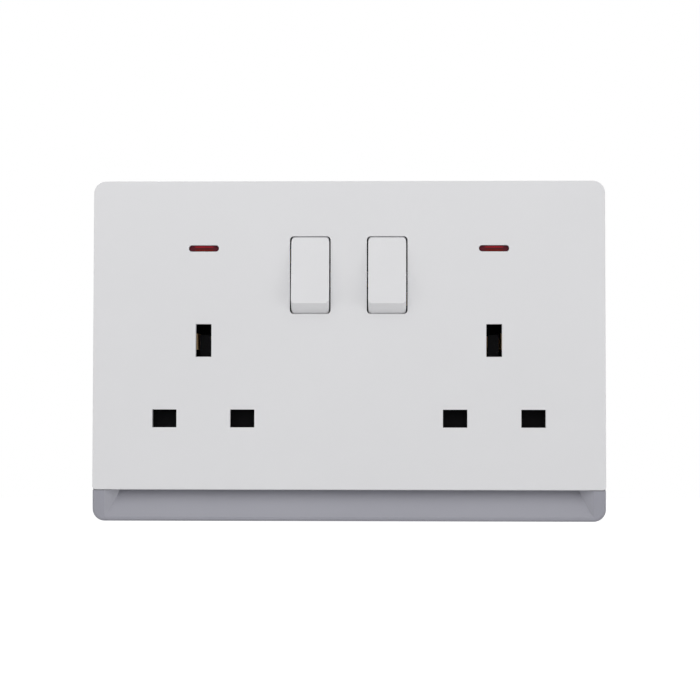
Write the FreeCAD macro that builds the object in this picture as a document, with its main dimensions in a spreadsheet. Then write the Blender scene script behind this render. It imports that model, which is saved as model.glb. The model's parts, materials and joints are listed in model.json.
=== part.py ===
import FreeCAD
import Part
import math
import os
import re
import Sketcher

# A twin switched wall socket for flat three-pin plugs, in millimetres.
# X runs to the right, Z up and Y into the wall. The wall's face is the plane Y = 0, and the
# origin is on it, midway between the two fixing screws. Places in front of the wall are negative.

SIZES = {
    # Faceplate: the white cover over the grey base frame
    "plate_wide": 146.0,
    "plate_deep": 10.0,
    "cover_high": 88.1,
    "cover_wall": 2.0,
    "corner_round": 3.5,
    "cover_foot_round": 1.0,
    "cover_edge_round": 0.3,
    "fit_gap": 0.3,
    # Base frame
    "strip_high": 8.9,
    "strip_deep": 9.5,
    "strip_bevel": 0.6,
    "rim_deep": 4.0,
    "deck_deep": 7.0,
    "deck_wall": 2.0,
    "scoop_cheek": 3.45,
    "scoop_draft": 3.9,
    "scoop_floor": 6.2,
    "scoop_high": 7.7,
    "scoop_hollow": 0.3,
    "scoop_tuck": 3.0,
    "fixing_side": 12.7,
    "fixing_hole": 4.2,
    "fixing_head": 8.4,
    "fixing_seat": 4.0,
    "frame_wall": 2.5,
    # Plug apertures, one group of three for each socket
    "socket_side": 31.6,
    "pin_pitch": 22.23,
    "earth_z": 2.9,
    "earth_slot_wide": 4.5,
    "earth_slot_high": 9.35,
    "line_slot_wide": 6.95,
    "line_slot_high": 5.1,
    "deck_slot_margin": 0.5,
    # Rocker switches
    "switch_pitch": 21.94,
    "rocker_z": 21.58,
    "aperture_wide": 11.6,
    "aperture_high": 22.2,
    "aperture_round": 1.1,
    "aperture_lip": 0.6,
    "aperture_relief": 1.4,
    "rocker_side_gap": 0.4,
    "rocker_end_gap": 0.45,
    "rocker_rise": 1.56,
    "rocker_tilt": 8.35,
    "rocker_wall": 1.6,
    "rocker_cheek": 1.2,
    "rocker_skirt": 3.6,
    "rocker_round": 1.0,
    "rocker_hub": 3.4,
    "pivot_deep": 3.5,
    "trunnion": 2.4,
    "trunnion_gap": 0.1,
    "bearing_wall": 1.8,
    "barrel": 4.4,
    "barrel_bore": 2.9,
    "barrel_reach": 5.0,
    # Spring plungers and the see-saw contacts that they tip over
    "plunger": 2.7,
    "plunger_reach": 7.3,
    "plunger_seat": 0.3,
    "plunger_wire": 0.35,
    "seesaw_y": 4.85,
    "seesaw_tilt": 6.0,
    "seesaw_half": 8.2,
    "seesaw_wide": 4.5,
    "seesaw_thick": 0.8,
    "seesaw_lift": 0.05,
    "tip_z": 7.0,
    "tip_round": 3.0,
    "tip_thick": 0.6,
    "tip_gap": 0.12,
    # Sheet-metal contacts
    "sheet": 0.8,
    "leaf": 0.6,
    "leaf_wide": 5.5,
    "strip_wide": 4.0,
    "line_base_y": 8.6,
    "line_mouth_y": -1.2,
    "line_waist_y": 2.2,
    "earth_base_y": 13.8,
    "earth_mouth_y": -2.0,
    "earth_waist_y": 3.0,
    "earth_leaf_wide": 4.6,
    "mouth_half": 2.4,
    "waist_half": 1.85,
    "base_half": 2.9,
    "bend_back": 0.8,
    "live_bar_y": 6.4,
    "live_bar_high": 4.6,
    "right_riser_out": 8.2,
    "right_cross_z": 16.0,
    "left_riser_in": 15.4,
    "neutral_bar_z": -30.15,
    "neutral_bar_high": 2.2,
    "earth_bar_z": -4.0,
    "earth_drop_wide": 3.0,
    "earth_drop_in": 2.0,
    # Terminals
    "terminal_wide": 8.0,
    "terminal_deep": 7.6,
    "terminal_high": 9.0,
    "terminal_y": 10.0,
    "terminal_bore": 4.6,
    "terminal_screw": 3.5,
    "terminal_screw_long": 3.1,
    "live_terminal_z": 28.5,
    "low_terminal_z": -26.5,
    "earth_terminal_x": 16.0,
    # Safety shutters
    "shutter_wide": 29.8,
    "shutter_high": 7.4,
    "shutter_thick": 1.8,
    "shutter_gap": 0.3,
    "shutter_travel": 6.2,
    "shutter_arm": 5.0,
    "wedge_wide": 3.0,
    "spring_slot": 3.8,
    "spring_top": 1.33,
    "spring_foot": -30.0,
    "spring_round": 3.0,
    "spring_wire": 0.4,
    "rail_wide": 1.0,
    "rail_lip": 0.8,
    "rail_clear": 0.8,
    # Neon indicators
    "neon_z": 29.2,
    "neon_slot_wide": 8.6,
    "neon_slot_high": 1.82,
    "neon_slot_round": 0.85,
    "lens_gap": 0.14,
    "lens_sunk": 0.6,
    "lens_flange_wide": 10.6,
    "lens_flange_high": 4.0,
    "lens_flange": 1.0,
    "lamp_y": -1.6,
    "lamp_round": 4.0,
    "lamp_long": 10.0,
    "lamp_gap": 0.12,
    "lead": 0.6,
    "lead_bend": 1.5,
    "resistor_round": 2.3,
    "resistor_long": 6.5,
    "resistor_z": 11.0,
    "outer_lead": 8.8,
    "inner_lead": 9.4,
    # Rear housing
    "housing_top": 35.0,
    "housing_foot": -33.0,
    "housing_back": 19.6,
    "housing_wall": 1.6,
    "housing_gap": 0.3,
    "notch_clear": 6.6,
    "notch_half": 7.6,
    "top_screw_in": 6.0,
    "top_screw_z": 26.0,
    "low_screw_x": 24.0,
    "low_screw_z": -25.9,
    "screw_shank": 2.4,
    "screw_head": 4.2,
    "screw_head_thick": 1.6,
    "screw_slot": 0.7,
    "screw_seat": 2.0,
    "screw_split_y": 1.0,
    "screw_post": 6.0,
    "screw_boss": 4.6,
    # Cover clips
    "clip_wide": 5.0,
    "clip_thick": 1.2,
    "clip_barb": 0.6,
    "clip_slot_gap": 0.25,
    "top_clip_side": 33.0,
    "top_clip_z": 41.5,
    "side_clip_side": 6.5,
    "side_clip_z": 25.0,
}

# Places that several pieces share, as expressions in the names above
TOP = "(cover_high + strip_high) / 2"
SEAM = "(strip_high - cover_high) / 2"
FOOT = "-(cover_high + strip_high) / 2"
LINE_Z = "earth_z - pin_pitch"
FLOOR = "housing_back - housing_wall"
DECK_FRONT = "-deck_deep"
DECK_BACK = "deck_wall - deck_deep"
STRAP = "line_base_y - sheet"
SOCKET = "(plate_wide / 2 - socket_side)"
FIXING = "(plate_wide / 2 - fixing_side)"
RAILS = "(%s + shutter_wide / 2 + shutter_gap + rail_wide)" % SOCKET
HOUSING = "(%s + rail_clear + housing_wall)" % RAILS
NOTCH = "(%s - notch_clear)" % FIXING
SCOOP = "(plate_wide / 2 - scoop_cheek)"
LEFT_RISER = "left_riser_in - %s" % SOCKET
RIGHT_RISER = "%s + right_riser_out" % SOCKET
SIDES = {"left": "-1", "right": "1"}
FUNCTIONS = {"sin", "cos", "tan", "sqrt"}
PLANES = {"x": "YZ_Plane", "y": "XZ_Plane", "z": "XY_Plane"}

doc = FreeCAD.newDocument("TwinSocket")
sheet = doc.addObject("Spreadsheet::Sheet", "Sizes")
nodes = []


def fill_sheet():
    """Give each size a row of the sheet, with its name as the cell's alias."""
    for row, (alias, number) in enumerate(SIZES.items(), 1):
        sheet.set("A%d" % row, alias)
        sheet.set("B%d" % row, str(number))
        sheet.setAlias("B%d" % row, alias)
    doc.recompute()


def words(text):
    """Turn plain names in an expression into references to the sheet."""
    return re.sub(
        r"[a-z][a-z_]*",
        lambda found: found.group() if found.group() in FUNCTIONS else "Sizes." + found.group(),
        text,
    )


def value(text):
    """The number that an expression gives now."""
    return float(sheet.evalExpression(words(text)))


def bind(thing, prop, text):
    """Tie a property to an expression in the names of the sheet."""
    thing.setExpression(prop, words(text))


def around(centre, size):
    """Low and high expressions of a size about its centre."""
    return "(%s) - (%s) / 2" % (centre, size), "(%s) + (%s) / 2" % (centre, size)


def place(thing, x, y, z, tilt=None):
    """Put a piece that was made about its own pivot in its place, leaning about X."""
    if tilt is not None:
        axis = FreeCAD.Vector(1, 0, 0)
        thing.Placement = FreeCAD.Placement(FreeCAD.Vector(), FreeCAD.Rotation(axis, 1))
        bind(thing, "Placement.Rotation.Angle", tilt)
    for letter, text in zip("xyz", (x, y, z)):
        bind(thing, "Placement.Base." + letter, text)
    return thing


def block(name, x, y, z):
    """A box between two expressions along each axis."""
    piece = doc.addObject("Part::Box", name)
    for letter, side, (low, high) in zip("xyz", ("Length", "Width", "Height"), (x, y, z)):
        bind(piece, "Placement.Base." + letter, low)
        bind(piece, side, "(%s) - (%s)" % (high, low))
    return piece


def rod(name, axis, centre, size, ends):
    """A cylinder of a diameter, along one axis between two expressions."""
    piece = doc.addObject("Part::Cylinder", name)
    turns = {
        "x": FreeCAD.Rotation(FreeCAD.Vector(0, 1, 0), 90),
        "y": FreeCAD.Rotation(FreeCAD.Vector(1, 0, 0), -90),
        "z": FreeCAD.Rotation(),
    }
    piece.Placement = FreeCAD.Placement(FreeCAD.Vector(), turns[axis])
    bind(piece, "Radius", "(%s) / 2" % size)
    bind(piece, "Height", "(%s) - (%s)" % (ends[1], ends[0]))
    bind(piece, "Placement.Base." + axis, ends[0])
    for letter, text in zip([other for other in "xyz" if other != axis], centre):
        bind(piece, "Placement.Base." + letter, text)
    return piece


def facet_rod(name, centre, size, ends):
    """A rod or hole along Y with twelve flat sides, for round shapes that stay out of sight."""
    piece = doc.addObject("Part::Prism", name)
    piece.Polygon = 12
    piece.Placement = FreeCAD.Placement(FreeCAD.Vector(), FreeCAD.Rotation(FreeCAD.Vector(1, 0, 0), -90))
    bind(piece, "Circumradius", "(%s) / 2" % size)
    bind(piece, "Height", "(%s) - (%s)" % (ends[1], ends[0]))
    place(piece, centre[0], ends[0], centre[1])
    return piece


def fuse(name, pieces):
    """Join pieces into one solid."""
    whole = doc.addObject("Part::MultiFuse", name)
    whole.Shapes = pieces
    whole.Refine = True
    return whole


def common(name, pieces):
    """Keep what all the pieces share."""
    whole = doc.addObject("Part::MultiCommon", name)
    whole.Shapes = pieces
    return whole


def cut(name, base, tools):
    """Take tools away from a piece."""
    whole = doc.addObject("Part::Cut", name)
    whole.Base = base
    whole.Tool = tools[0] if len(tools) == 1 else fuse(name + "_tools", tools)
    whole.Refine = True
    return whole


def polygon(body, axis, points):
    """A closed outline in the plane square to one axis, each corner tied to its expressions.

    A point is a pair of expressions: Y and Z square to X, X and Z square to Y, X and Y
    square to Z.
    """
    sketch = body.newObject("Sketcher::SketchObject", body.Name + "_sketch")
    plane = next(item for item in body.Origin.OriginFeatures if item.Role == PLANES[axis])
    sketch.AttachmentSupport = [(plane, "")]
    sketch.MapMode = "FlatFace"
    corners = [FreeCAD.Vector(value(across), value(up), 0) for across, up in points]
    count = len(corners)
    for i in range(count):
        sketch.addGeometry(Part.LineSegment(corners[i], corners[(i + 1) % count]), False)
    for i in range(count):
        sketch.addConstraint(Sketcher.Constraint("Coincident", i, 2, (i + 1) % count, 1))
    for i, point in enumerate(points):
        for kind, text in zip(("DistanceX", "DistanceY"), point):
            rule = Sketcher.Constraint(kind, -1, 1, i, 1, value(text))
            row = sketch.addConstraint(rule)
            sketch.setExpression("Constraints[%d]" % row, words(text))
    return sketch


def pad(name, axis, points, ends):
    """A pad of a polygon, square to one axis and between two places along it."""
    body = doc.addObject("PartDesign::Body", name)
    sketch = polygon(body, axis, points)
    low, high = ends
    bind(sketch, "AttachmentOffset.Base.z", "-(%s)" % high if axis == "y" else low)
    feature = body.newObject("PartDesign::Pad", name + "_pad")
    feature.Profile = sketch
    bind(feature, "Length", "(%s) - (%s)" % (high, low))
    return body


def picked_edges(body, wanted):
    """The last feature of a body, and the names of its edges that a test picks out."""
    doc.recompute()
    last = body.Tip
    return last, ["Edge%d" % (i + 1) for i, edge in enumerate(last.Shape.Edges) if wanted(edge)]


def rounded(body, radius, wanted):
    """Round the edges of a body that a test picks out."""
    picked = picked_edges(body, wanted)
    fillet = body.newObject("PartDesign::Fillet", body.Name + "_round")
    fillet.Base = picked
    bind(fillet, "Radius", radius)
    return body


def bevelled(body, size, wanted):
    """Bevel the edges of a body that a test picks out."""
    picked = picked_edges(body, wanted)
    bevel = body.newObject("PartDesign::Chamfer", body.Name + "_bevel")
    bevel.Base = picked
    bind(bevel, "Size", size)
    return body


def runs_along(edge, axis):
    """Whether an edge is straight along one axis."""
    box = edge.BoundBox
    lengths = {"x": box.XLength, "y": box.YLength, "z": box.ZLength}
    return all(size < 1e-4 for letter, size in lengths.items() if letter != axis)


def plate(name, x, y, z, round_top, round_foot=None):
    """A flat plate that faces the front, with rounded corners."""
    corners = [(x[0], z[0]), (x[1], z[0]), (x[1], z[1]), (x[0], z[1])]
    body = pad(name, "y", corners, y)
    middle = (value(z[0]) + value(z[1])) / 2
    rounded(body, round_top, lambda e: runs_along(e, "y") and e.BoundBox.Center.z > middle)
    rounded(
        body,
        round_foot or round_top,
        lambda e: runs_along(e, "y") and e.BoundBox.Center.z < middle,
    )
    return body


def turned(name, points, axis="V_Axis"):
    """A solid of revolution from a polygon in X and Y, about Y, or about X with H_Axis."""
    body = doc.addObject("PartDesign::Body", name)
    sketch = polygon(body, "z", points)
    feature = body.newObject("PartDesign::Revolution", name + "_turn")
    feature.Profile = sketch
    feature.ReferenceAxis = (sketch, [axis])
    feature.Angle = 360
    return body


def coil(name, size, wire, turns, length):
    """A coil spring of square wire about its own Z axis, from zero up to its length.

    The wire's centre goes round at a constant pitch. Each turn is eight flat-sided steps, and
    the section stays upright, so the solid is closed with triangles between the steps.
    """
    steps = 8 * turns
    radius = value(size) / 2 - value(wire) / 2
    half = value(wire) / 2
    rise = value(length) - value(wire)
    rings = []
    for i in range(steps + 1):
        turn = 2 * math.pi * turns * i / steps
        middle = half + rise * i / steps
        rings.append([
            FreeCAD.Vector(reach * math.cos(turn), reach * math.sin(turn), height)
            for reach, height in (
                (radius - half, middle - half),
                (radius + half, middle - half),
                (radius + half, middle + half),
                (radius - half, middle + half),
            )
        ])
    faces = []
    for first, second in zip(rings, rings[1:]):
        for i in range(4):
            j = (i + 1) % 4
            for corners in ((first[i], first[j], second[j]), (first[i], second[j], second[i])):
                faces.append(Part.Face(Part.makePolygon(list(corners) + [corners[0]])))
    for ring in (rings[0], rings[-1]):
        faces.append(Part.Face(Part.makePolygon(ring + [ring[0]])))
    solid = Part.Solid(Part.Shell(faces))
    if solid.Volume < 0:
        solid.reverse()
    piece = doc.addObject("Part::Feature", name)
    piece.Shape = solid
    return piece


def lead(name, points):
    """A bent wire of hexagonal section through points, its bends made of three short chords."""
    bend = value("lead_bend")
    spots = [FreeCAD.Vector(*[value(text) for text in point]) for point in points]
    path = [spots[0]]
    for before, corner, after in zip(spots, spots[1:], spots[2:]):
        into = (corner - before).normalize()
        out = (after - corner).normalize()
        for turn in (0, math.pi / 6, math.pi / 3, math.pi / 2):
            ahead, aside = bend * math.sin(turn), bend * (1 - math.cos(turn))
            path.append(corner + into * (ahead - bend) + out * aside)
    path.append(spots[-1])
    heading = (spots[1] - spots[0]).normalize()
    side = heading.cross(FreeCAD.Vector(0, 0, 1))
    if side.Length < 0.5:
        side = FreeCAD.Vector(1, 0, 0)
    ring = []
    for i in range(7):
        turn = FreeCAD.Rotation(heading, 60 * i)
        ring.append(spots[0] + turn.multVec(side) * (value("lead") / 2))
    piece = doc.addObject("Part::Feature", name)
    piece.Shape = Part.makePolygon(path).makePipeShell([Part.makePolygon(ring)], True, False, 1)
    return piece


def keep(name, piece):
    """Name a finished sub-part, which also names its file."""
    piece.Label = name
    nodes.append(piece)
    return piece


def socket_x(side):
    """The middle of one socket's group of apertures."""
    return "%s * %s" % (SIDES[side], SOCKET)


def switch_x(side):
    """The middle of one rocker."""
    return "%s * switch_pitch / 2" % SIDES[side]


def pin_slots(name, y, margin="0"):
    """Tools for the three plug apertures of both sockets."""
    tools = []
    for side in SIDES:
        middle = socket_x(side)
        tools.append(block(
            "%s_earth_%s" % (name, side),
            around(middle, "earth_slot_wide + 2 * (%s)" % margin),
            y,
            around("earth_z", "earth_slot_high + 2 * (%s)" % margin),
        ))
        for hand, sign in (("neutral", "-1"), ("live", "1")):
            tools.append(block(
                "%s_%s_%s" % (name, hand, side),
                around("%s + %s * pin_pitch / 2" % (middle, sign),
                       "line_slot_wide + 2 * (%s)" % margin),
                y,
                around(LINE_Z, "line_slot_high + 2 * (%s)" % margin),
            ))
    return tools


def clip_places():
    """Name, middle and lie of the cover's six clips: flat ones on top, upright at the sides."""
    spots = []
    for side, sign in SIDES.items():
        spots.append(("top_" + side, "%s * (plate_wide / 2 - top_clip_side)" % sign, "top_clip_z", sign, True))
        for level, up in (("upper", "1"), ("lower", "-1")):
            name = "%s_%s" % (level, side)
            spots.append((name, "%s * (plate_wide / 2 - side_clip_side)" % sign, "%s * side_clip_z" % up, sign, False))
    return spots


def make_front_cover():
    """The white cover: a shallow shell with thin lips round the rockers and snap hooks behind."""
    inside = "-(plate_deep - cover_wall)"
    shell = plate(
        "cover_shell", around("0", "plate_wide"), ("-plate_deep", "-rim_deep"), (SEAM, TOP),
        "corner_round", "cover_foot_round",
    )
    front = -value("plate_deep")
    rounded(shell, "cover_edge_round", lambda e: e.BoundBox.YMax < front + 0.01)
    hollow = plate(
        "cover_hollow", around("0", "plate_wide - 2 * cover_wall"), (inside, "0"),
        (SEAM + " + 1", TOP + " - cover_wall"), "corner_round - cover_wall",
    )
    pry_gap = block("cover_pry_gap", around("0", "plate_wide + 2"), (inside, "0"),
                    (SEAM + " - 1", SEAM + " + scoop_tuck + fit_gap"))
    through = ("-(plate_deep + 1)", "0")
    tools = [hollow, pry_gap] + pin_slots("cover_slot", through)
    for side in SIDES:
        tools.append(plate(
            "cover_aperture_" + side, around(switch_x(side), "aperture_wide"), through,
            around("rocker_z", "aperture_high"), "aperture_round",
        ))
        tools.append(block(
            "cover_relief_" + side, around(switch_x(side), "aperture_wide + aperture_lip"),
            ("aperture_lip - plate_deep", "0"),
            around("rocker_z", "aperture_high + 2 * aperture_relief"),
        ))
        tools.append(plate(
            "cover_neon_" + side, around(socket_x(side), "neon_slot_wide"), through,
            around("neon_z", "neon_slot_high"), "neon_slot_round",
        ))
    pieces = [cut("cover_face", shell, tools)]
    tip = "%s + fit_gap + clip_barb" % DECK_BACK
    for name, x, z, sign, flat in clip_places():
        # The stem is a flat strip, and the barb under its end leans out by its own height.
        across = z if flat else x
        outward = "1" if flat else sign
        low, high = around(across, "clip_thick")
        edge = "(%s) + (%s) * clip_thick / 2" % (across, outward)
        point = "%s + (%s) * clip_barb" % (edge, outward)
        barb = "%s + fit_gap" % DECK_BACK
        if flat:
            stem = block("clip_" + name, around(x, "clip_wide"), (inside, tip), (low, high))
            hook = pad("hook_" + name, "x", [(barb, edge), (tip, edge), (barb, point)],
                       around(x, "clip_wide"))
        else:
            stem = block("clip_" + name, (low, high), (inside, tip), around(z, "clip_wide"))
            hook = pad("hook_" + name, "z", [(edge, barb), (edge, tip), (point, barb)],
                       around(z, "clip_wide"))
        pieces += [stem, hook]
    keep("front_cover", fuse("cover_whole", pieces))


def make_base_frame():
    """The grey frame: rim, raised deck, finger scoop, fixing bosses and rocker bearings."""
    wide = around("0", "plate_wide")
    rim = plate("frame_rim", wide, ("-rim_deep", "0"), (FOOT, TOP), "corner_round")
    strip = plate("frame_strip", wide, ("-strip_deep", "-rim_deep + 1"),
                  (FOOT, SEAM + " + scoop_tuck + corner_round"), "corner_round")
    front = -value("strip_deep")
    foot = value(FOOT)
    bevelled(strip, "strip_bevel",
             lambda e: e.BoundBox.YMax < front + 0.01 and e.BoundBox.ZMax < foot + 0.01)
    upper = block("frame_strip_top", around("0", "plate_wide + 2"), ("-strip_deep - 1", "-rim_deep"),
                  (SEAM + " + scoop_tuck", SEAM + " + scoop_tuck + corner_round + 1"))
    behind = block("frame_strip_behind", around("0", "plate_wide + 2"),
                   ("-strip_deep - 1", "fit_gap / 2 - (plate_deep - cover_wall)"),
                   (SEAM + " - fit_gap / 2", SEAM + " + scoop_tuck + 1"))
    inner = "plate_wide - 2 * cover_wall - 2 * fit_gap"
    deck = plate(
        "frame_deck", around("0", inner), (DECK_FRONT, "-rim_deep + 1"),
        (SEAM + " + scoop_tuck", TOP + " - cover_wall - fit_gap"), "corner_round - cover_wall",
    )
    solid = fuse("frame_solid", [rim, cut("frame_lip", strip, [upper, behind]), deck])
    doc.recompute()
    # The scoop's floor rises from its deep edge under the cover to the lip on a slack arc, which
    # scoop_hollow dips below the straight line between the two.
    depth = "(strip_deep - scoop_floor)"
    chord = "sqrt(scoop_high ^ 2 + %s ^ 2)" % depth
    radius = "((%s ^ 2 / 4 + scoop_hollow ^ 2) / (2 * scoop_hollow))" % chord
    reach = "((%s - scoop_hollow) / %s)" % (radius, chord)
    centre = (
        "-(strip_deep + scoop_floor) / 2 - %s * scoop_high" % reach,
        "%s - scoop_high / 2 + %s * %s" % (SEAM, reach, depth),
    )
    round_scoop = rod("scoop_round", "x", centre, "2 * " + radius, around("0", "2 * " + SCOOP))
    draft = pad("scoop_sides", "z", [
        ("-" + SCOOP, "-strip_deep"),
        (SCOOP, "-strip_deep"),
        (SCOOP + " - scoop_draft", "-scoop_floor"),
        ("scoop_draft - " + SCOOP, "-scoop_floor"),
    ], (FOOT, SEAM + " + scoop_tuck"))
    scoop = common("scoop", [round_scoop, draft])
    half_x = HOUSING + " + housing_gap"
    back = (DECK_BACK, "1")
    level = ("housing_foot - housing_gap", "housing_top + housing_gap")
    well = [
        block("well_middle", around("0", "2 * (%s + housing_gap)" % NOTCH), back, level),
        block("well_upper", around("0", "2 * (%s)" % half_x), back,
              ("notch_half - housing_gap", level[1])),
        block("well_lower", around("0", "2 * (%s)" % half_x), back,
              (level[0], "housing_gap - notch_half")),
    ]
    tools = [scoop] + well
    tools += pin_slots("deck_slot", ("-deck_deep - 1", DECK_BACK), "deck_slot_margin")
    through = ("-deck_deep - 1", DECK_BACK)
    for side, sign in SIDES.items():
        tools.append(block(
            "deck_aperture_" + side,
            around(switch_x(side), "aperture_wide + 2 * deck_slot_margin"), through,
            around("rocker_z", "aperture_high + 2 * aperture_relief + 2 * deck_slot_margin"),
        ))
        tools.append(block(
            "deck_neon_" + side, around(socket_x(side), "neon_slot_wide"), through,
            around("neon_z", "neon_slot_high + lens_gap"),
        ))
        hole = ("%s * %s" % (sign, FIXING), "0")
        tools.append(rod("fixing_hole_" + side, "y", hole, "fixing_hole", ("-deck_deep - 1", "1")))
        tools.append(rod("fixing_head_" + side, "y", hole, "fixing_head",
                         ("-deck_deep - 1", "-fixing_seat")))
        near = "%s + frame_wall" % half_x
        far = "plate_wide / 2 - frame_wall"
        xs = sorted(("%s * (%s)" % (sign, near), "%s * (%s)" % (sign, far)), key=value)
        tools.append(block("side_hollow_upper_" + side, xs, back,
                           ("notch_half + frame_wall", TOP + " - 2 * frame_wall")))
        tools.append(block("side_hollow_lower_" + side, xs, back,
                           (SEAM + " + scoop_tuck + frame_wall", "-notch_half - frame_wall")))
        xs = sorted(("%s * frame_wall" % sign, "%s * (%s - frame_wall)" % (sign, near)), key=value)
        tools.append(block("top_hollow_" + side, xs, back,
                           (level[1] + " + frame_wall", TOP + " - frame_wall")))
    for name, x, z, sign, flat in clip_places():
        wide = "clip_wide + 2 * clip_slot_gap"
        thick = "clip_thick + 2 * clip_slot_gap"
        tools.append(block("clip_slot_" + name, around(x, wide if flat else thick), through,
                           around(z, thick if flat else wide)))
    pieces = [cut("frame_body", solid, tools)]
    pieces += frame_bearings() + frame_guides() + frame_screw_bosses()
    keep("base_frame", fuse("frame_whole", pieces))


def frame_bearings():
    """Two cheeks behind the deck for each rocker's trunnions."""
    pieces = []
    inner = "aperture_wide / 2 + deck_slot_margin"
    for side in SIDES:
        for hand, sign in (("inner", "-1"), ("outer", "1")):
            near = "%s + (%s) * (%s)" % (switch_x(side), sign, inner)
            far = "%s + (%s) * bearing_wall" % (near, sign)
            name = "bearing_%s_%s" % (hand, side)
            cheek = block(name, sorted((near, far), key=value), (DECK_BACK, "1 - pivot_deep / 2"),
                          around("rocker_z", "2 * rocker_hub"))
            hole = rod(name + "_hole", "x", ("-pivot_deep", "rocker_z"),
                       "trunnion + 2 * trunnion_gap",
                       ("%s - 10" % switch_x(side), "%s + 10" % switch_x(side)))
            pieces.append(cut(name + "_bored", cheek, [hole]))
    return pieces


def frame_guides():
    """Rails that hold each shutter against the deck, and the rib under its spring."""
    pieces = []
    behind = "%s + shutter_thick + 2 * shutter_gap" % DECK_BACK
    for side in SIDES:
        middle = socket_x(side)
        for hand, sign in (("inner", "-1"), ("outer", "1")):
            near = "%s + (%s) * (shutter_wide / 2 + shutter_gap)" % (middle, sign)
            far = "%s + (%s) * rail_wide" % (near, sign)
            lip = "%s - (%s) * (shutter_gap + rail_lip)" % (near, sign)
            level = around(LINE_Z, "shutter_high + rail_wide")
            name = "rail_%s_%s" % (hand, side)
            pieces.append(block(name, sorted((near, far), key=value), (DECK_BACK, behind), level))
            pieces.append(block(name + "_lip", sorted((lip, far), key=value),
                                (behind, behind + " + rail_lip"), level))
        pieces.append(block("spring_rib_" + side, around(middle, "shutter_arm"),
                            (DECK_BACK, "%s + shutter_gap + spring_round" % DECK_BACK),
                            ("spring_foot - 1.2", "spring_foot")))
    return pieces


def screw_places():
    """Name and middle of the four screws that hold the housing to the frame."""
    spots = []
    for side, sign in SIDES.items():
        spots.append(("top_" + side, "%s * (%s - top_screw_in)" % (sign, HOUSING), "top_screw_z"))
        spots.append(("low_" + side, "%s * low_screw_x" % sign, "low_screw_z"))
    return spots


def frame_screw_bosses():
    """Bosses behind the deck with pilot holes for the housing's screws."""
    pieces = []
    for name, x, z in screw_places():
        boss = block("boss_" + name, around(x, "screw_boss"), (DECK_BACK, "screw_split_y"),
                     around(z, "screw_boss"))
        hole = facet_rod("pilot_" + name, (x, z), "screw_shank",
                         (DECK_BACK + " + 0.5", "screw_split_y + 1"))
        pieces.append(cut("boss_bored_" + name, boss, [hole]))
    return pieces


def make_rear_housing():
    """The deep tray behind the wall's face, with posts under the contacts and open windows."""
    deep = (DECK_BACK, "housing_back")
    inside = (DECK_BACK + " - 1", FLOOR)
    outer, inner = [], []
    for name, half, low, high in (
        ("middle", NOTCH, "housing_foot", "housing_top"),
        ("upper", HOUSING, "notch_half", "housing_top"),
        ("lower", HOUSING, "housing_foot", "-notch_half"),
    ):
        outer.append(block("tray_" + name, around("0", "2 * (%s)" % half), deep, (low, high)))
        inner.append(block("tray_hollow_" + name, around("0", "2 * (%s - housing_wall)" % half),
                           inside, (low + " + housing_wall", high + " - housing_wall")))
    shell = cut("tray", fuse("tray_outer", outer), inner)
    posts = []
    for name, x, z in screw_places():
        posts.append(block("post_" + name, around(x, "screw_post"), ("screw_split_y", FLOOR),
                           around(z, "screw_post")))
    for side in SIDES:
        middle = socket_x(side)
        for hand, sign in (("neutral", "-1"), ("live", "1")):
            posts.append(block("pedestal_%s_%s" % (hand, side),
                               around(line_x(side, hand), "strip_wide"),
                               ("line_base_y", FLOOR), around(LINE_Z, "strip_wide")))
        posts.append(block("pedestal_earth_" + side, around(middle, "leaf_wide"),
                           ("earth_base_y + sheet", FLOOR), around("earth_z", "strip_wide")))
        posts.append(block("pedestal_tip_" + side, around(switch_x(side), "strip_wide"),
                           ("line_base_y", FLOOR), around("rocker_z + tip_z", "strip_wide")))
        posts.append(block(
            "pedestal_bar_" + side,
            around("%s * (switch_pitch / 2 - seesaw_wide)" % SIDES[side], "3"),
            ("live_bar_y", FLOOR), around("rocker_z", "strip_wide"),
        ))
        for hand, sign in (("inner", "-1"), ("outer", "1")):
            x = "%s + (%s) * lamp_long / 4" % (middle, sign)
            cradle = block("cradle_%s_%s" % (hand, side), around(x, "1.2"),
                           ("lamp_y + 1.2", FLOOR), around("neon_z", "lamp_round + 2"))
            nest = rod("nest_%s_%s" % (hand, side), "x", ("lamp_y", "neon_z"),
                       "lamp_round + 2 * lamp_gap", ("%s - 2" % x, "%s + 2" % x))
            posts.append(cut("cradle_cut_%s_%s" % (hand, side), cradle, [nest]))
    whole = fuse("tray_with_posts", [shell] + posts)
    tools = []
    for name, x, z in screw_places():
        tools.append(facet_rod("clear_" + name, (x, z), "screw_shank + 0.4",
                               ("screw_split_y - 1", "housing_back + 1")))
        tools.append(block("head_well_" + name, around(x, "screw_head + 0.6"),
                           ("screw_split_y + screw_seat", "housing_back + 1"),
                           around(z, "screw_head + 0.6")))
    for name, x, z, up in terminal_places():
        tools.append(block("screw_window_" + name, around(x, "terminal_screw + 1"),
                           (FLOOR + " - 1", "housing_back + 1"), around(z, "terminal_screw + 1")))
        wall = ("housing_top - housing_wall - 1", "housing_top + 1")
        if up == "-1":
            wall = ("housing_foot - 1", "housing_foot + housing_wall + 1")
        tools.append(block("cable_window_" + name, around(x, "terminal_wide"),
                           ("terminal_y", "terminal_y + terminal_deep"), wall))
    keep("rear_housing", cut("housing_whole", whole, tools))


def terminal_places():
    """Name, middle and open end of the four cable terminals."""
    return (
        ("live_terminal", "0", "live_terminal_z", "1"),
        ("neutral_terminal", "0", "low_terminal_z", "-1"),
        ("earth_terminal_left", "-earth_terminal_x", "low_terminal_z", "-1"),
        ("earth_terminal_right", "earth_terminal_x", "low_terminal_z", "-1"),
    )


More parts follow.
